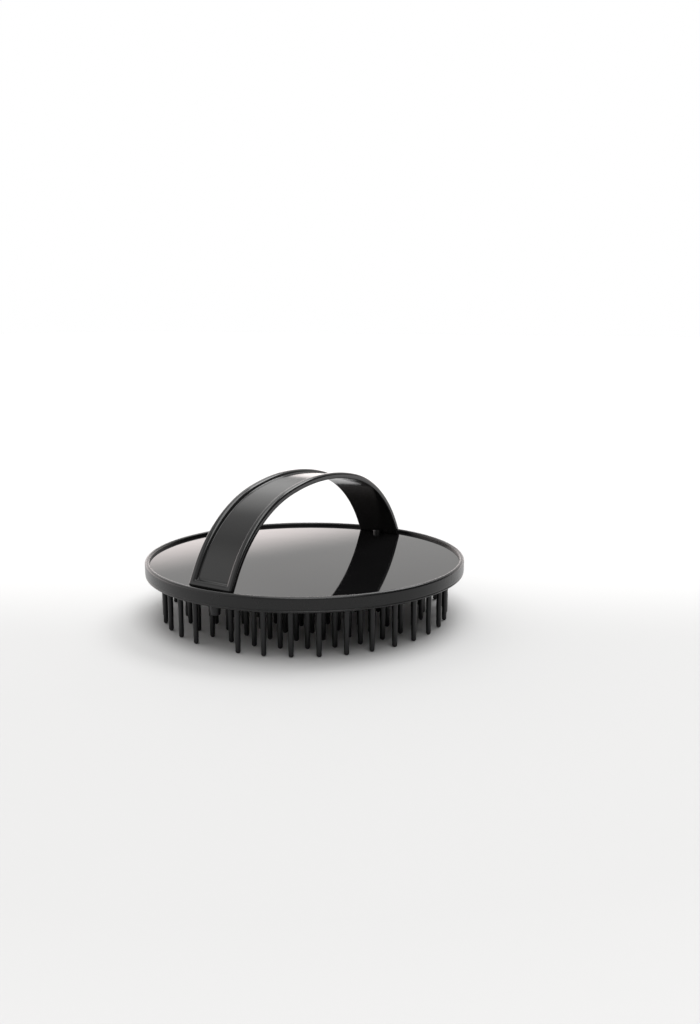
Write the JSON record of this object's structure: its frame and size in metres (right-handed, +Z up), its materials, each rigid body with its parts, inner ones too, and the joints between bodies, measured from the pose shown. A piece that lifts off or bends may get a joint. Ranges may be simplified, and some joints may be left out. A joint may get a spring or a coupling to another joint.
{
  "type": "scalp massager brush",
  "caption": "Round palm brush for scalp massage: a thin disc with a field of moulded pins below and an arched hand strap above.",
  "frame": {"origin": "on the disc's axis, at the height of the pin tips that the brush stands on", "axes": "+Z up, from the pins towards the strap; the strap arches along Y, so -Y is the front foot; the hand goes under the strap along X"},
  "size_m": [0.09, 0.09, 0.0404],
  "materials": {
    "pin_pad": "satin",
    "rim_ring": "satin",
    "top_plate": "high gloss",
    "hand_strap": "satin",
    "strap_cap": "satin"
  },
  "bodies": {
    "root": {"pin_pad": "pin_pad", "rim_ring": "rim_ring", "top_plate": "top_plate", "hand_strap": "hand_strap", "strap_cap_front": "strap_cap", "strap_cap_back": "strap_cap"}
  },
  "joints": []
}
